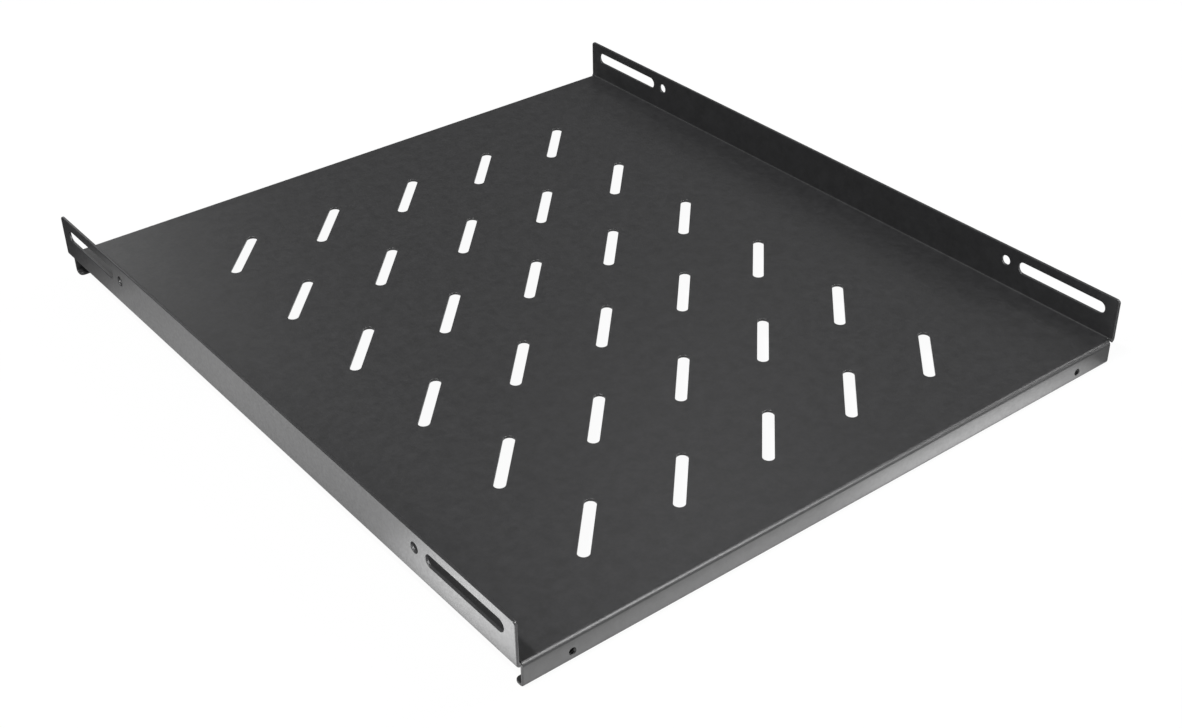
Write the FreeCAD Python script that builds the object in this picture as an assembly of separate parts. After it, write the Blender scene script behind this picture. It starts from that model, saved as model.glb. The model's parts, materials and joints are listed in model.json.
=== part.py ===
"""Fixed shelf for a 19-inch rack: one steel sheet, punched with slanted vents and folded.

Millimetres. X runs across the rack, with +X to the right of someone facing the front lip, +Y runs
from the front lip to the rear lip, and +Z is up. The origin is on the surface that the shelf
stands on, under the middle of the pan.
"""
import FreeCAD, Part

import itertools
import math
import os

# The folded sheet
WIDTH = 485.0            # over the outer faces of the side flanges
DEPTH = 550.0            # over the outer faces of the front and rear lips
SHEET = 2.0              # thickness of the steel
BEND_INSIDE = 1.0        # inside radius of every fold
FLANGE_RISE = 30.0       # top of the side flanges above the pan's upper face
FLANGE_CORNER = 2.5      # rounding of a flange's upper corners
LIP_DROP = 17.5          # foot of the lips below the pan's upper face
RETURN_DEPTH = 8.0       # reach of the return under a lip, from the lip's outer face
RETURN_CORNER = 3.0      # rounding of a return's free corners
RELIEF_WIDTH = 1.0       # slit that parts a lip from a flange's fold at a corner of the pan

# Slanted vents in the pan
VENT_COLUMNS = 5
VENT_ROWS = 6
VENT_PITCH_X = 70.0
VENT_PITCH_Y = 80.0
VENT_LENGTH = 52.0
VENT_WIDTH = 7.5
VENT_ANGLE = 47.0        # degrees from +X towards +Y
VENT_SHIFT_X = -5.0      # centre of the pattern, from the middle of the pan
VENT_SHIFT_Y = -9.0

# Fixing slots and holes in the side flanges, alike at the front and at the rear
SLOT_LENGTH = 72.0
SLOT_HEIGHT = 8.5
SLOT_END_GAP = 10.0      # from a flange's end to the near end of its slot
FLANGE_HOLE_DIAMETER = 7.0
FLANGE_HOLE_PITCH = 47.0  # from a slot's centre to the hole inboard of it
FIXING_RISE = 19.0       # slots and holes above the pan's upper face

# Two small holes in the front lip
LIP_HOLE_DIAMETER = 4.5
LIP_HOLE_END_GAP = 32.5  # from a lip's end to the hole
LIP_HOLE_DROP = 10.5     # below the pan's upper face

# Worked out from the above
BEND_OUTSIDE = BEND_INSIDE + SHEET
PAN_TOP = LIP_DROP
PAN_MIDDLE = PAN_TOP - SHEET / 2
FLANGE_TOP = PAN_TOP + FLANGE_RISE
FLANGE_FOOT = PAN_TOP + BEND_INSIDE
LIP_TOP = PAN_TOP - BEND_OUTSIDE
LIP_FOOT = BEND_OUTSIDE
PAN_HALF_X = WIDTH / 2 - BEND_OUTSIDE
PAN_HALF_Y = DEPTH / 2 - BEND_OUTSIDE
LIP_HALF_X = PAN_HALF_X - RELIEF_WIDTH / 2
FLANGE_MIDDLE_X = (WIDTH - SHEET) / 2
LIP_MIDDLE_Y = (DEPTH - SHEET) / 2
SLOT_Y = DEPTH / 2 - SLOT_END_GAP - SLOT_LENGTH / 2
FLANGE_HOLE_Y = SLOT_Y - FLANGE_HOLE_PITCH
FIXING_Z = PAN_TOP + FIXING_RISE
LIP_HOLE_X = LIP_HALF_X - LIP_HOLE_END_GAP
LIP_HOLE_Z = PAN_TOP - LIP_HOLE_DROP
PUNCH_DEPTH = 2 * SHEET  # a punch passes through the sheet and half its thickness beyond each face

X_AXIS = FreeCAD.Vector(1, 0, 0)
Y_AXIS = FreeCAD.Vector(0, 1, 0)
Z_AXIS = FreeCAD.Vector(0, 0, 1)
BOTH = (-1, 1)


def line(start, end):
    """A straight edge between two points of the XY plane."""
    return Part.makeLine(FreeCAD.Vector(*start), FreeCAD.Vector(*end))


def arc(centre, radius, start, end):
    """A round edge in the XY plane, between two angles in degrees."""
    angles = [math.radians(angle) for angle in (start, (start + end) / 2, end)]
    points = [
        FreeCAD.Vector(centre[0] + radius * math.cos(angle), centre[1] + radius * math.sin(angle))
        for angle in angles
    ]
    return Part.Arc(*points).toShape()


def slab(edges, thickness):
    """The region inside the edges, thickened equally to both sides of the XY plane."""
    face = Part.Face(Part.Wire(edges))
    face.translate(Z_AXIS * (-thickness / 2))
    return face.extrude(Z_AXIS * thickness)


def rounded_plate(width, height, corner):
    """A plate of the sheet, centred on X, standing on y = 0, with its two far corners rounded."""
    half = width / 2
    reach = half - corner
    shoulder = height - corner
    edges = [
        line((-half, 0), (half, 0)),
        line((half, 0), (half, shoulder)),
        arc((reach, shoulder), corner, 0, 90),
        line((reach, height), (-reach, height)),
        arc((-reach, shoulder), corner, 90, 180),
        line((-half, shoulder), (-half, 0)),
    ]
    return slab(edges, SHEET)


def fold(length):
    """A quarter turn of the sheet about the Z axis, from +X round to +Y."""
    edges = [
        line((BEND_INSIDE, 0), (BEND_OUTSIDE, 0)),
        arc((0, 0), BEND_OUTSIDE, 0, 90),
        line((0, BEND_OUTSIDE), (0, BEND_INSIDE)),
        arc((0, 0), BEND_INSIDE, 90, 0),
    ]
    return slab(edges, length)


def slot_punch(length, width, depth=PUNCH_DEPTH):
    """A punch with round ends, its length along X."""
    radius = width / 2
    reach = length / 2 - radius
    edges = [
        line((-reach, -radius), (reach, -radius)),
        arc((reach, 0), radius, -90, 90),
        line((reach, radius), (-reach, radius)),
        arc((-reach, 0), radius, 90, 270),
    ]
    return slab(edges, depth)


def round_punch(diameter):
    """A round punch along Z."""
    return Part.makeCylinder(diameter / 2, PUNCH_DEPTH, Z_AXIS * (-PUNCH_DEPTH / 2))


def placed(shape, place, own_x, own_y):
    """The shape with its origin at a place and its own X and Y axes along two given directions."""
    turn = FreeCAD.Rotation(own_x, own_y, own_x.cross(own_y), "XYZ")
    shape.Placement = FreeCAD.Placement(FreeCAD.Vector(*place), turn) * shape.Placement
    return shape


def pan():
    """The flat of the shelf, inside all four folds."""
    corner = FreeCAD.Vector(-PAN_HALF_X, -PAN_HALF_Y, PAN_TOP - SHEET)
    return Part.makeBox(2 * PAN_HALF_X, 2 * PAN_HALF_Y, SHEET, corner)


def flange(side):
    """The fold and the upright of one side flange; side is -1 at the left and 1 at the right."""
    bend = placed(fold(DEPTH), (side * PAN_HALF_X, 0, FLANGE_FOOT), X_AXIS * side, -Z_AXIS)
    upright = rounded_plate(DEPTH, FLANGE_TOP - FLANGE_FOOT, FLANGE_CORNER)
    upright = placed(upright, (side * FLANGE_MIDDLE_X, 0, FLANGE_FOOT), Y_AXIS, Z_AXIS)
    return [bend, upright]


def lip(end):
    """A lip folded down from the pan and in again under it; end is -1 at the front, 1 at the rear."""
    outward = Y_AXIS * end
    length = 2 * LIP_HALF_X
    upper_bend = placed(fold(length), (0, end * PAN_HALF_Y, LIP_TOP), outward, Z_AXIS)
    lower_bend = placed(fold(length), (0, end * PAN_HALF_Y, LIP_FOOT), outward, -Z_AXIS)
    corner = FreeCAD.Vector(-LIP_HALF_X, end * LIP_MIDDLE_Y - SHEET / 2, LIP_FOOT)
    face = Part.makeBox(length, SHEET, LIP_TOP - LIP_FOOT, corner)
    inward = rounded_plate(length, RETURN_DEPTH - BEND_OUTSIDE, RETURN_CORNER)
    inward = placed(inward, (0, end * PAN_HALF_Y, SHEET / 2), X_AXIS, -outward)
    return [upper_bend, lower_bend, face, inward]


def corner_reliefs():
    """Slits with a round end that part the lips from the flanges' folds."""
    length = 2 * (BEND_OUTSIDE + RELIEF_WIDTH)
    middle_y = (DEPTH + RELIEF_WIDTH) / 2
    punches = []
    for side, end in itertools.product(BOTH, BOTH):
        slit = slot_punch(length, RELIEF_WIDTH, FLANGE_FOOT - LIP_TOP)
        place = (side * PAN_HALF_X, end * middle_y, (FLANGE_FOOT + LIP_TOP) / 2)
        punches.append(placed(slit, place, Y_AXIS, -X_AXIS))
    return punches


def vents():
    """Punches for the slanted vents, in rows and columns about the pattern's centre."""
    slant = FreeCAD.Rotation(Z_AXIS, VENT_ANGLE)
    along = slant.multVec(X_AXIS)
    across = slant.multVec(Y_AXIS)
    punches = []
    for column, row in itertools.product(range(VENT_COLUMNS), range(VENT_ROWS)):
        x = VENT_SHIFT_X + (column - (VENT_COLUMNS - 1) / 2) * VENT_PITCH_X
        y = VENT_SHIFT_Y + (row - (VENT_ROWS - 1) / 2) * VENT_PITCH_Y
        punch = slot_punch(VENT_LENGTH, VENT_WIDTH)
        punches.append(placed(punch, (x, y, PAN_MIDDLE), along, across))
    return punches


def flange_fixings():
    """Punches for a slot and the hole inboard of it, at both ends of both flanges."""
    punches = []
    for side, end in itertools.product(BOTH, BOTH):
        slot = slot_punch(SLOT_LENGTH, SLOT_HEIGHT)
        hole = round_punch(FLANGE_HOLE_DIAMETER)
        x = side * FLANGE_MIDDLE_X
        punches.append(placed(slot, (x, end * SLOT_Y, FIXING_Z), Y_AXIS, Z_AXIS))
        punches.append(placed(hole, (x, end * FLANGE_HOLE_Y, FIXING_Z), Y_AXIS, Z_AXIS))
    return punches


def front_lip_holes():
    """Punches for the two small holes near the ends of the front lip."""
    punches = []
    for side in BOTH:
        hole = round_punch(LIP_HOLE_DIAMETER)
        punches.append(placed(hole, (side * LIP_HOLE_X, -LIP_MIDDLE_Y, LIP_HOLE_Z), X_AXIS, Z_AXIS))
    return punches


def shelf():
    """The whole folded and punched sheet, as one solid."""
    folded = pan().fuse(flange(-1) + flange(1) + lip(-1) + lip(1)).removeSplitter()
    punched = folded.cut(corner_reliefs() + vents() + flange_fixings() + front_lip_holes())
    return punched.removeSplitter().Solids[0]


os.makedirs("parts", exist_ok=True)
shelf().exportStep("parts/shelf.step")
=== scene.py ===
"""Fixed rack shelf, as it looks: one punched and folded steel sheet with a black powder coat.

Metres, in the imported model's frame: +X to the right of someone facing the front lip, +Y to the
rear, +Z up. The sheet is drawn flat, with its rims rounded by the coat, and then folded up as the
real one is.
"""
import itertools
import json
import math

import bmesh
import bpy
from mathutils import Matrix, Vector
from mathutils.geometry import delaunay_2d_cdt


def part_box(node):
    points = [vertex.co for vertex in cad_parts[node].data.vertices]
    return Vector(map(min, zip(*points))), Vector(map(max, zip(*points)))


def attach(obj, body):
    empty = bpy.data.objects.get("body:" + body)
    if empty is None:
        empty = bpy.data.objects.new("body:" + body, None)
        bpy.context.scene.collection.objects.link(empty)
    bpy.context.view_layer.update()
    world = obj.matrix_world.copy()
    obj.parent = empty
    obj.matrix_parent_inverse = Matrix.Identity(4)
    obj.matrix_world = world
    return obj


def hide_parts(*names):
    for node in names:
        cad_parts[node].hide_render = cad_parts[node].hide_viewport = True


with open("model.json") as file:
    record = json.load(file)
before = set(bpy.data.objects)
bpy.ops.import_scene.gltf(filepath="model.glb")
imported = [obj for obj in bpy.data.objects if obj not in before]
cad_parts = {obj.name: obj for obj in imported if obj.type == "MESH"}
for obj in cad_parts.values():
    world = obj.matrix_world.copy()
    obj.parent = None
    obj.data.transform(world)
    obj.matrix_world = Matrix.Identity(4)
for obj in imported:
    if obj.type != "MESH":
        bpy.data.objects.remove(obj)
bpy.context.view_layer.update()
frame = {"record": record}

LOW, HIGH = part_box("shelf")
MOUNTS = {mount["name"]: mount for mount in frame["record"]["mounts"]}
MM = 0.001
BOTH = (-1, 1)

# The folded sheet
SHEET = 2.0 * MM
BEND_INSIDE = 1.0 * MM
FLANGE_CORNER = 2.5 * MM
RETURN_DEPTH = 8.0 * MM
RETURN_CORNER = 3.0 * MM
RELIEF_WIDTH = 1.0 * MM      # slit that parts a lip from a flange's fold at a corner of the pan
RIM_ROUND = 0.5 * MM         # radius that the coat gives every cut edge

# Slanted vents in the pan
VENT_COLUMNS = 5
VENT_ROWS = 6
VENT_PITCH_X = 70.0 * MM
VENT_PITCH_Y = 80.0 * MM
VENT_LENGTH = 52.0 * MM
VENT_WIDTH = 7.5 * MM
VENT_ANGLE = math.radians(47.0)
VENT_SHIFT_X = -5.0 * MM
VENT_SHIFT_Y = -9.0 * MM

# How finely round shapes are divided, and how near points count as one
FOLD_STEPS = 10
ROUND_STEPS = 14             # along half a circle
RIM_STEPS = 3
SAME_POINT = 1e-8
ON_THE_CUT = 1e-7

# The powder coat: clouds in its colour, and a finer grain in its gloss and its bump
CLOUDS_PER_METRE = 110.0
CLOUD_FINENESS = 0.85        # strength of each finer layer of the noise against the last
GRAINS_PER_METRE = 420.0
GRAIN_FINENESS = 0.6
NOISE_LAYERS = 3.0
NOISE_LOW = 0.33             # where the noise mostly ends, downwards and upwards
NOISE_HIGH = 0.67
COAT_DARKEST = (0.021, 0.021, 0.0217)
COAT_PALEST = (0.030, 0.030, 0.0311)
ROUGHNESS_LEAST = 0.32
ROUGHNESS_MOST = 0.40
BUMP_STRENGTH = 0.16
BUMP_HEIGHT = 0.05 * MM

# The photograph's camera, fitted to the shelf's corners, slots and vents
SENSOR_WIDTH = 36.0          # millimetres
LENS = 52.21                 # millimetres
CAMERA_NEAR = 0.01           # nearest distance that it sees
CAMERA_PLACE = (-0.60328, -0.81005, 0.63213)
CAMERA_HEADING = math.radians(37.620)  # from +Y towards +X
CAMERA_PITCH = math.radians(33.683)    # downwards
CAMERA_ROLL = math.radians(-1.034)

# The studio: a floor with cards on it, just under the foot of the shelf, and the room around
FLOOR_HALF = 30.0            # from its middle to its edges
FLOOR_HEIGHT = -0.1 * MM
FLOOR_GREY = 0.85
FLOOR_ROUGHNESS = 0.9
FLOOR_WHITENESS = 0.96       # share of plain white in the floor as the camera and reflections see it
CARD_HEIGHT = -0.05 * MM
ROOM_LOW = (0.33, 0.05)      # height in the room, from -1 to 1, with its brightness
ROOM_HIGH = (0.67, 0.275)

# Points that the lamps face
SHELF_ORIGIN = (0.0, 0.0, 0.0)
PAN_FRONT = (0.0, -0.2, 0.0)
LIP_MIDDLE = (0.0, -0.27, 0.02)
LIP_LEFT = (-0.1, -0.27, 0.02)

# Cards on the floor: beside the left flange, in front of the lip, and glowing ones between two
# corners that are painted reflections
LEFT_CARD_GAP = 12.0 * MM
LEFT_CARD_WIDTH = 200.0 * MM
LEFT_CARD_FRONT = -0.42
LEFT_CARD_REAR = 0.30
FRONT_CARD_GAP = 1.5 * MM
FRONT_CARD_WIDTH = 12.0 * MM
FRONT_CARD_PAST = 27.5 * MM  # past the right flange
REAR_CARD_CORNERS = ((-0.7, 0.20), (0.3, 0.90))
RIGHT_CARD_CORNERS = ((0.238, -0.60), (0.60, -0.276))

# Brightness along the cards: shares of a card's length, each with a level against white paper
LEFT_CARD_LEVELS = (
    (0.316, 4.0), (0.35, 3.3), (0.385, 2.0), (0.414, 0.75), (0.45, 0.5), (0.72, 0.45), (0.86, 0.1),
)
FRONT_CARD_LEVELS = (
    (0.0, 1.35), (0.44, 2.1), (0.55, 3.5), (0.69, 3.8), (0.795, 3.2), (0.90, 1.7), (0.935, 0.2),
)
# Painted reflections: the glow of cards that only reflections see, mostly dimmer than the white
# floor
REAR_CARD_LEVELS = ((0.03, 0.95), (0.07, 0.45), (0.13, 0.1), (0.25, 0.02))
RIGHT_CARD_LEVELS = ((0.0, 0.40), (1.0, 0.46))

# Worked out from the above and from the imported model
PAN_TOP = MOUNTS["pan_top"]["pos_m"][2]
PAN_MIDDLE = PAN_TOP - SHEET / 2
BEND_OUTSIDE = BEND_INSIDE + SHEET
BEND_MIDDLE = BEND_INSIDE + SHEET / 2
FOLD_RUN = BEND_MIDDLE * math.pi / 2
PAN_HALF_X = HIGH.x - BEND_OUTSIDE
PAN_HALF_Y = HIGH.y - BEND_OUTSIDE
FLANGE_FOOT = PAN_TOP + BEND_INSIDE
LIP_TOP = PAN_TOP - BEND_OUTSIDE
LIP_FOOT = LOW.z + BEND_OUTSIDE
LIP_HALF_X = PAN_HALF_X - RELIEF_WIDTH / 2
RETURN_FOLD = FOLD_RUN + LIP_TOP - LIP_FOOT
FLANGE_REACH = FOLD_RUN + HIGH.z - FLANGE_FOOT
LIP_REACH = RETURN_FOLD + FOLD_RUN + RETURN_DEPTH - BEND_OUTSIDE

# Where each fold of a flange and of a lip starts, past the edge of the pan, and its way: 1 is up and
# -1 is down
FLANGE_FOLDS = ((0.0, 1),)
LIP_FOLDS = ((0.0, -1), (RETURN_FOLD, -1))


def arc(centre, radius, start, end):
    """Points along a round edge, between two angles in degrees."""
    steps = max(2, round(ROUND_STEPS * abs(end - start) / 180))
    points = []
    for step in range(steps + 1):
        angle = math.radians(start + (end - start) * step / steps)
        x = centre[0] + radius * math.cos(angle)
        y = centre[1] + radius * math.sin(angle)
        points.append(Vector((x, y)))
    return points


def flat_corner():
    """The flat sheet's outline round its right rear corner, from the flange to the lip's return."""
    flange_edge = PAN_HALF_X + FLANGE_REACH
    lip_edge = PAN_HALF_Y + LIP_REACH
    slit_half = RELIEF_WIDTH / 2
    points = arc((flange_edge - FLANGE_CORNER, HIGH.y - FLANGE_CORNER), FLANGE_CORNER, 0, 90)
    points.append(Vector((PAN_HALF_X + slit_half, HIGH.y)))
    points += arc((PAN_HALF_X, PAN_HALF_Y), slit_half, 0, -180)
    points += arc((LIP_HALF_X - RETURN_CORNER, lip_edge - RETURN_CORNER), RETURN_CORNER, 0, 90)
    return points


def flat_outline():
    """The flat sheet's outline, anticlockwise: one corner mirrored to all four."""
    corner = flat_corner()
    points = list(corner)
    points += [Vector((-p.x, p.y)) for p in reversed(corner)]
    points += [Vector((-p.x, -p.y)) for p in corner]
    points += [Vector((p.x, -p.y)) for p in reversed(corner)]
    return points


def slot_outline(centre, length, width, angle):
    """A slot with round ends, clockwise, so that the sheet lies to the left of it."""
    radius = width / 2
    reach = length / 2 - radius
    points = arc((reach, 0.0), radius, 90, -90) + arc((-reach, 0.0), radius, -90, -270)
    turn = Matrix.Rotation(angle, 2)
    return [Vector(centre) + turn @ point for point in points]


def round_outline(centre, radius):
    """A round hole, clockwise."""
    return arc(centre, radius, 360, 0)[:-1]


def vent_outlines():
    """The slanted vents, in rows and columns about the pattern's centre."""
    outlines = []
    for column, row in itertools.product(range(VENT_COLUMNS), range(VENT_ROWS)):
        x = VENT_SHIFT_X + (column - (VENT_COLUMNS - 1) / 2) * VENT_PITCH_X
        y = VENT_SHIFT_Y + (row - (VENT_ROWS - 1) / 2) * VENT_PITCH_Y
        outlines.append(slot_outline((x, y), VENT_LENGTH, VENT_WIDTH, VENT_ANGLE))
    return outlines


def flange_outlines():
    """The slots and holes of both flanges, where they lie on the flat sheet."""
    outlines = []
    slots = MOUNTS["right_flange_slots"]
    holes = MOUNTS["right_flange_holes"]
    out = PAN_HALF_X + FOLD_RUN + slots["pos_m"][2] - FLANGE_FOOT
    slot_length = slots["dims"]["slot_length_mm"] * MM
    slot_width = 2 * slots["dims"]["hole_r_mm"] * MM
    slot_y = slots["dims"]["spacing_x_mm"] * MM / 2
    hole_y = holes["dims"]["spacing_x_mm"] * MM / 2
    hole_radius = holes["dims"]["hole_r_mm"] * MM
    for side, end in itertools.product(BOTH, BOTH):
        slot_centre = (side * out, end * slot_y)
        outlines.append(slot_outline(slot_centre, slot_length, slot_width, math.pi / 2))
        outlines.append(round_outline((side * out, end * hole_y), hole_radius))
    return outlines


def lip_outlines():
    """The two small holes of the front lip, where they lie on the flat sheet."""
    holes = MOUNTS["front_lip_holes"]
    out = PAN_HALF_Y + FOLD_RUN + LIP_TOP - holes["pos_m"][2]
    x = holes["dims"]["spacing_x_mm"] * MM / 2
    return [round_outline((side * x, -out), holes["dims"]["hole_r_mm"] * MM) for side in BOTH]


def moved_in(outline, distance):
    """The outline moved into the sheet, which lies to its left, by an even distance."""
    points = []
    for index, point in enumerate(outline):
        before = (point - outline[index - 1]).normalized()
        after = (outline[(index + 1) % len(outline)] - point).normalized()
        left_before = Vector((-before.y, before.x))
        left_after = Vector((-after.y, after.x))
        shift = (left_before + left_after) / (1 + left_before.dot(left_after))
        points.append(point + shift * distance)
    return points


def rim_section():
    """The rim's lines from the upper face to the lower: how far in from the cut, and how high."""
    upper = []
    for step in range(RIM_STEPS + 1):
        angle = math.pi / 2 * step / RIM_STEPS
        inset = RIM_ROUND * (1 - math.sin(angle))
        upper.append((inset, SHEET / 2 - RIM_ROUND * (1 - math.cos(angle))))
    return upper + [(inset, -height) for inset, height in reversed(upper)]


def flat_sheet():
    """The whole sheet before folding, with its rims rounded."""
    bm = bmesh.new()
    outlines = [flat_outline()] + vent_outlines() + flange_outlines() + lip_outlines()
    points, loops, upper, lower = [], [], [], []
    for outline in outlines:
        lines = [
            [bm.verts.new((point.x, point.y, height)) for point in moved_in(outline, inset)]
            for inset, height in rim_section()
        ]
        for above, below in itertools.pairwise(lines):
            for index in range(len(outline)):
                bm.faces.new((above[index - 1], below[index - 1], below[index], above[index]))
        # All loops run anticlockwise, so those of the holes are turned round
        loop = range(len(points), len(points) + len(outline))
        loops.append(list(loop if outline is outlines[0] else reversed(loop)))
        points += moved_in(outline, RIM_ROUND)
        upper += lines[0]
        lower += lines[-1]
    only_inside = 1
    divided = delaunay_2d_cdt(points, [], loops, only_inside, SAME_POINT)
    triangles, loops_around = divided[2], divided[5]
    for triangle, around in zip(triangles, loops_around):
        in_no_hole = around == [0]
        if in_no_hole:
            bm.faces.new([upper[index] for index in triangle])
            bm.faces.new([lower[index] for index in reversed(triangle)])
    return bm


def cut_across(bm, axis, distance):
    """Divides the sheet along a line each side of the middle, so that it can bend there."""
    for side in BOTH:
        place = Vector((0.0, 0.0, 0.0))
        normal = Vector((0.0, 0.0, 0.0))
        place[axis] = side * distance
        normal[axis] = side
        everything = bm.verts[:] + bm.edges[:] + bm.faces[:]
        bmesh.ops.bisect_plane(bm, geom=everything, dist=ON_THE_CUT, plane_co=place, plane_no=normal)


def followed(distance, folds):
    """How far out and up the sheet is at a distance past the edge of the pan, and its tilt there."""
    out = up = tilt = passed = 0.0
    for start, way in folds:
        run = min(distance, start) - passed
        turn = way * min(max(distance - start, 0.0), FOLD_RUN) / BEND_MIDDLE
        out += run * math.cos(tilt) + way * BEND_MIDDLE * (math.sin(tilt + turn) - math.sin(tilt))
        up += run * math.sin(tilt) + way * BEND_MIDDLE * (math.cos(tilt) - math.cos(tilt + turn))
        tilt += turn
        passed = min(distance, start + FOLD_RUN)
        if distance <= start + FOLD_RUN:
            return out, up, tilt
    run = distance - passed
    return out + run * math.cos(tilt), up + run * math.sin(tilt), tilt


def folded(point):
    """Where a point of the flat sheet goes when the flanges and lips are folded."""
    past_side = abs(point.x) - PAN_HALF_X
    past_end = abs(point.y) - PAN_HALF_Y
    if past_side > 0:
        out, up, tilt = followed(past_side, FLANGE_FOLDS)
        across = PAN_HALF_X + out - point.z * math.sin(tilt)
        place = (math.copysign(across, point.x), point.y)
    else:
        out, up, tilt = followed(past_end, LIP_FOLDS)
        across = PAN_HALF_Y + out - point.z * math.sin(tilt)
        place = (point.x, math.copysign(across, point.y))
    return Vector((*place, PAN_MIDDLE + up + point.z * math.cos(tilt)))


def folded_sheet():
    """The shelf's mesh: the flat sheet divided along its folds and folded."""
    bm = flat_sheet()
    for step in range(FOLD_STEPS + 1):
        along = FOLD_RUN * step / FOLD_STEPS
        cut_across(bm, 0, PAN_HALF_X + along)
        cut_across(bm, 1, PAN_HALF_Y + along)
        cut_across(bm, 1, PAN_HALF_Y + RETURN_FOLD + along)
    for vertex in bm.verts:
        vertex.co = folded(vertex.co)
    bmesh.ops.recalc_face_normals(bm, faces=bm.faces[:])
    mesh = bpy.data.meshes.new("shelf_sheet")
    bm.to_mesh(mesh)
    bm.free()
    mesh.shade_smooth()
    return mesh


def new_object(name, data):
    """An object in the scene, made of a mesh, a lamp or a camera."""
    item = bpy.data.objects.new(name, data)
    bpy.context.scene.collection.objects.link(item)
    return item


def new_material(name):
    """A node material, with its nodes, its links and its surface shader."""
    material = bpy.data.materials.new(name)
    material.use_nodes = True
    nodes = material.node_tree.nodes
    return material, nodes, material.node_tree.links, nodes["Principled BSDF"]


def noise(nodes, links, coordinates, scale, detail, fineness):
    """Noise of so many grains per metre, with so many finer layers, each of so much strength."""
    texture = nodes.new("ShaderNodeTexNoise")
    texture.inputs["Scale"].default_value = scale
    texture.inputs["Detail"].default_value = detail
    texture.inputs["Roughness"].default_value = fineness
    links.new(coordinates, texture.inputs["Vector"])
    return texture.outputs["Fac"]


def ramp(nodes, links, value, stops):
    """Colours that follow a value; stops are places along it, each with a grey or a colour."""
    node = nodes.new("ShaderNodeValToRGB")
    elements = node.color_ramp.elements
    for index, (place, tone) in enumerate(stops):
        element = elements[index] if index < 2 else elements.new(place)
        element.position = place
        element.color = (*(tone if isinstance(tone, tuple) else (tone,) * 3), 1.0)
    links.new(value, node.inputs["Fac"])
    return node.outputs["Color"]


def powder_coat():
    """Semi-matt black powder coat: a fine grain in gloss and bump, and faint clouds in colour."""
    material, nodes, links, shader = new_material("powder_coat")
    coordinates = nodes.new("ShaderNodeTexCoord").outputs["Object"]
    clouds = noise(nodes, links, coordinates, CLOUDS_PER_METRE, NOISE_LAYERS, CLOUD_FINENESS)
    grain = noise(nodes, links, coordinates, GRAINS_PER_METRE, NOISE_LAYERS, GRAIN_FINENESS)
    colours = ((NOISE_LOW, COAT_DARKEST), (NOISE_HIGH, COAT_PALEST))
    roughness = ((NOISE_LOW, ROUGHNESS_LEAST), (NOISE_HIGH, ROUGHNESS_MOST))
    links.new(ramp(nodes, links, clouds, colours), shader.inputs["Base Color"])
    links.new(ramp(nodes, links, grain, roughness), shader.inputs["Roughness"])
    bump = nodes.new("ShaderNodeBump")
    bump.inputs["Strength"].default_value = BUMP_STRENGTH
    bump.inputs["Distance"].default_value = BUMP_HEIGHT
    links.new(grain, bump.inputs["Height"])
    links.new(bump.outputs["Normal"], shader.inputs["Normal"])
    return material


def make_shelf():
    """The folded and coated sheet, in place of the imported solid."""
    mesh = folded_sheet()
    mesh.materials.append(powder_coat())
    sheet = new_object("shelf_sheet", mesh)
    # The large flat faces decide the shading where they meet the folds and rims
    weighted = sheet.modifiers.new("flat_faces", "WEIGHTED_NORMAL")
    weighted.weight = 100
    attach(sheet, "root")
    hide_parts("shelf")


def make_camera():
    """The photograph's view."""
    data = bpy.data.cameras.new("camera")
    data.sensor_width = SENSOR_WIDTH
    data.sensor_fit = "HORIZONTAL"
    data.lens = LENS
    data.clip_start = CAMERA_NEAR
    camera = new_object("camera", data)
    ahead = Vector((math.sin(CAMERA_HEADING), math.cos(CAMERA_HEADING), 0.0))
    level = Vector((math.cos(CAMERA_HEADING), -math.sin(CAMERA_HEADING), 0.0))
    down = Vector((0.0, 0.0, -1.0))
    forward = ahead * math.cos(CAMERA_PITCH) + down * math.sin(CAMERA_PITCH)
    right = level * math.cos(CAMERA_ROLL) + level.cross(forward) * math.sin(CAMERA_ROLL)
    turn = Matrix((right, right.cross(forward), -forward)).transposed()
    camera.matrix_world = Matrix.Translation(CAMERA_PLACE) @ turn.to_4x4()
    bpy.context.scene.camera = camera


def flat_card(name, low, high, height):
    """A level rectangle between two corners, at a height."""
    corners = [(*low, 0), (high[0], low[1], 0), (*high, 0), (low[0], high[1], 0)]
    mesh = bpy.data.meshes.new(name)
    mesh.from_pydata(corners, [], [(0, 1, 2, 3)])
    card = new_object(name, mesh)
    card.location.z = height
    return card


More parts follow.
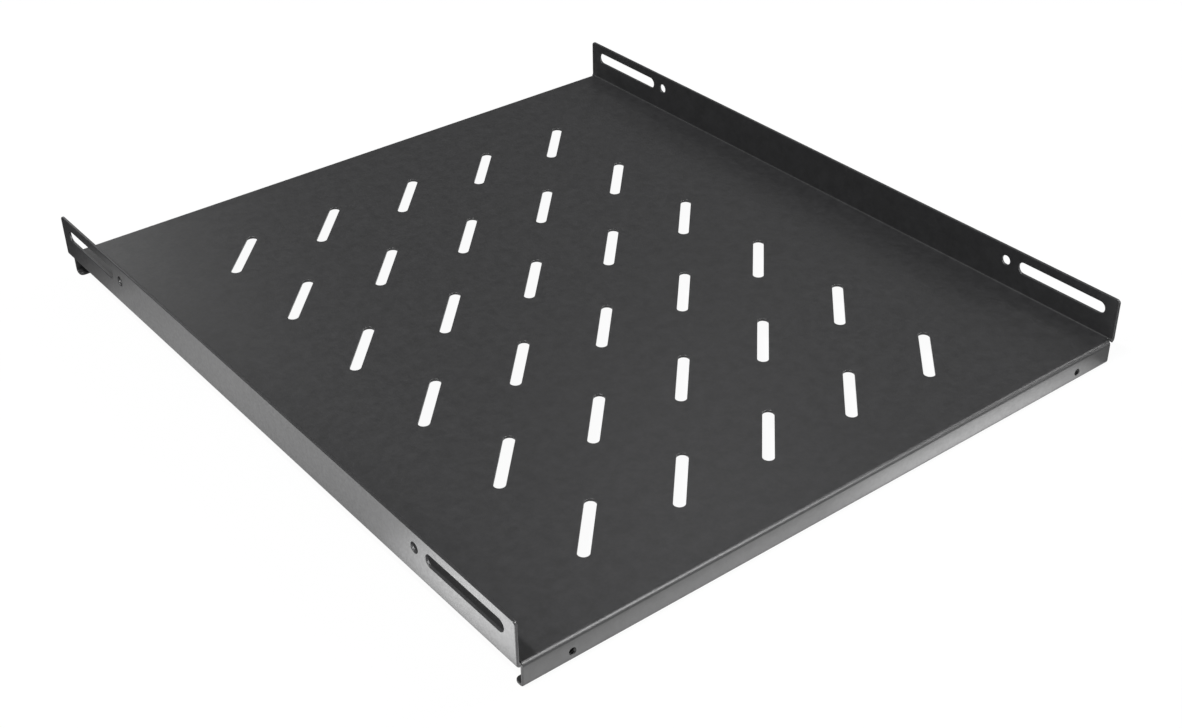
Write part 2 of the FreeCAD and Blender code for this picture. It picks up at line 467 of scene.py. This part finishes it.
def make_floor():
    """A wide pale floor, near white to the eye and in reflections, that takes a faint shadow."""
    floor = flat_card("floor", (-FLOOR_HALF, -FLOOR_HALF), (FLOOR_HALF, FLOOR_HALF), FLOOR_HEIGHT)
    material, nodes, links, shader = new_material("floor_paper")
    shader.inputs["Base Color"].default_value = (FLOOR_GREY, FLOOR_GREY, FLOOR_GREY, 1.0)
    shader.inputs["Roughness"].default_value = FLOOR_ROUGHNESS
    shader.inputs["Specular IOR Level"].default_value = 0.0
    glow = nodes.new("ShaderNodeEmission")
    blend = nodes.new("ShaderNodeMixShader")
    path = nodes.new("ShaderNodeLightPath")
    camera_or_glossy = nodes.new("ShaderNodeMath")
    camera_or_glossy.operation = "MAXIMUM"
    seen = nodes.new("ShaderNodeMath")
    seen.operation = "MAXIMUM"
    share = nodes.new("ShaderNodeMath")
    share.operation = "MULTIPLY"
    share.inputs[1].default_value = FLOOR_WHITENESS
    links.new(path.outputs["Is Camera Ray"], camera_or_glossy.inputs[0])
    links.new(path.outputs["Is Glossy Ray"], camera_or_glossy.inputs[1])
    links.new(camera_or_glossy.outputs[0], seen.inputs[0])
    links.new(path.outputs["Is Transmission Ray"], seen.inputs[1])
    links.new(seen.outputs[0], share.inputs[0])
    links.new(share.outputs[0], blend.inputs["Fac"])
    links.new(shader.outputs[0], blend.inputs[1])
    links.new(glow.outputs[0], blend.inputs[2])
    links.new(blend.outputs[0], nodes["Material Output"].inputs["Surface"])
    floor.data.materials.append(material)


def make_world():
    """Soft studio surroundings, white where the camera sees them directly."""
    world = bpy.data.worlds.new("studio")
    bpy.context.scene.world = world
    world.use_nodes = True
    nodes = world.node_tree.nodes
    links = world.node_tree.links
    room = nodes["Background"]
    height = nodes.new("ShaderNodeSeparateXYZ")
    links.new(nodes.new("ShaderNodeTexCoord").outputs["Generated"], height.inputs["Vector"])
    tone = ramp(nodes, links, height.outputs["Z"], (ROOM_LOW, ROOM_HIGH))
    links.new(tone, room.inputs["Color"])
    white = nodes.new("ShaderNodeBackground")
    white.inputs["Color"].default_value = (1.0, 1.0, 1.0, 1.0)
    blend = nodes.new("ShaderNodeMixShader")
    path = nodes.new("ShaderNodeLightPath")
    links.new(path.outputs["Is Camera Ray"], blend.inputs["Fac"])
    links.new(room.outputs[0], blend.inputs[1])
    links.new(white.outputs[0], blend.inputs[2])
    links.new(blend.outputs[0], nodes["World Output"].inputs["Surface"])


def softbox(name, place, target, width, height, brightness):
    """A rectangular lamp that faces a point; a brightness of 1 looks as bright as white paper."""
    data = bpy.data.lights.new(name, "AREA")
    data.shape = "RECTANGLE"
    data.size = width
    data.size_y = height
    data.energy = brightness * math.pi * width * height
    lamp = new_object(name, data)
    lamp.location = place
    lamp.rotation_euler = (Vector(target) - Vector(place)).to_track_quat("-Z", "Y").to_euler()
    lamp.visible_camera = False
    return lamp


def floor_card(name, start, end, width, levels):
    """A lit card that lies on the floor along a line, with levels of brightness along it."""
    along = Vector(end) - Vector(start)
    middle = (Vector(start) + along / 2).to_3d()
    brightest = max(level for share, level in levels)
    lamp = softbox(name, middle, middle + Vector((0.0, 0.0, 1.0)), along.length, width, brightest)
    lamp.rotation_euler = (math.pi, 0.0, math.atan2(along.y, along.x))
    lamp.data.use_nodes = True
    nodes = lamp.data.node_tree.nodes
    links = lamp.data.node_tree.links
    run = nodes.new("ShaderNodeSeparateXYZ")
    links.new(nodes.new("ShaderNodeNewGeometry").outputs["Parametric"], run.inputs["Vector"])
    tones = [(share, level / brightest) for share, level in levels]
    links.new(ramp(nodes, links, run.outputs["X"], tones), nodes["Emission"].inputs["Color"])


def painted_reflection_card(name, low, high, levels):
    """A glowing card on the floor that only reflections show, with levels of brightness along Y: a
    painted reflection.
    """
    card = flat_card(name, low, high, CARD_HEIGHT)
    material, nodes, links, shader = new_material(name)
    shader.inputs["Base Color"].default_value = (0.0, 0.0, 0.0, 1.0)
    shader.inputs["Specular IOR Level"].default_value = 0.0
    shader.inputs["Emission Strength"].default_value = 1.0
    run = nodes.new("ShaderNodeSeparateXYZ")
    links.new(nodes.new("ShaderNodeTexCoord").outputs["Generated"], run.inputs["Vector"])
    links.new(ramp(nodes, links, run.outputs["Y"], levels), shader.inputs["Emission Color"])
    card.data.materials.append(material)
    card.visible_camera = False
    card.visible_diffuse = False
    card.visible_transmission = False
    card.visible_shadow = False


def make_lamps():
    """Soft studio lamps around the shelf."""
    softbox("key", (-5.1, -0.5, 11.6), SHELF_ORIGIN, width=4.0, height=0.8, brightness=130.0)
    softbox("low_left", (-6.6, -0.4, 6.1), SHELF_ORIGIN, width=3.5, height=3.5, brightness=5.5)
    softbox("low_right", (7.6, -1.0, 4.9), SHELF_ORIGIN, width=3.5, height=3.5, brightness=8.6)
    softbox("rear", (0.2, 2.4, 1.3), SHELF_ORIGIN, width=0.7, height=0.9, brightness=2.3)
    softbox("rear_right", (1.22, 1.18, 1.74), PAN_FRONT, width=0.35, height=0.35, brightness=2.2)
    # A lamp for the highlight along the lip's fold, which only reflections show
    place = (0.60, -1.35, 1.08)
    front_right = softbox("front_right", place, LIP_LEFT, width=0.7, height=1.1, brightness=13.5)
    front_right.visible_diffuse = False
    softbox("front_fill", (1.1, -1.9, 0.32), LIP_MIDDLE, width=2.2, height=0.6, brightness=1.3)


def make_cards():
    """Cards on the floor that the left flange, the lip and the folds reflect: lit ones, and glowing
    ones that are painted reflections.
    """
    left_x = LOW.x - LEFT_CARD_GAP - LEFT_CARD_WIDTH / 2
    left_start = (left_x, LEFT_CARD_FRONT)
    left_end = (left_x, LEFT_CARD_REAR)
    floor_card("left_card", left_start, left_end, LEFT_CARD_WIDTH, LEFT_CARD_LEVELS)
    front_y = LOW.y - FRONT_CARD_GAP - FRONT_CARD_WIDTH / 2
    front_start = (LOW.x, front_y)
    front_end = (HIGH.x + FRONT_CARD_PAST, front_y)
    floor_card("front_card", front_start, front_end, FRONT_CARD_WIDTH, FRONT_CARD_LEVELS)
    # Painted reflections: glowing cards that only reflections see, dimmer than the floor in places
    painted_reflection_card("rear_card", *REAR_CARD_CORNERS, REAR_CARD_LEVELS)
    painted_reflection_card("right_card", *RIGHT_CARD_CORNERS, RIGHT_CARD_LEVELS)


bpy.context.scene.view_settings.view_transform = "Standard"
make_camera()
make_shelf()
make_floor()
make_world()
make_lamps()
make_cards()
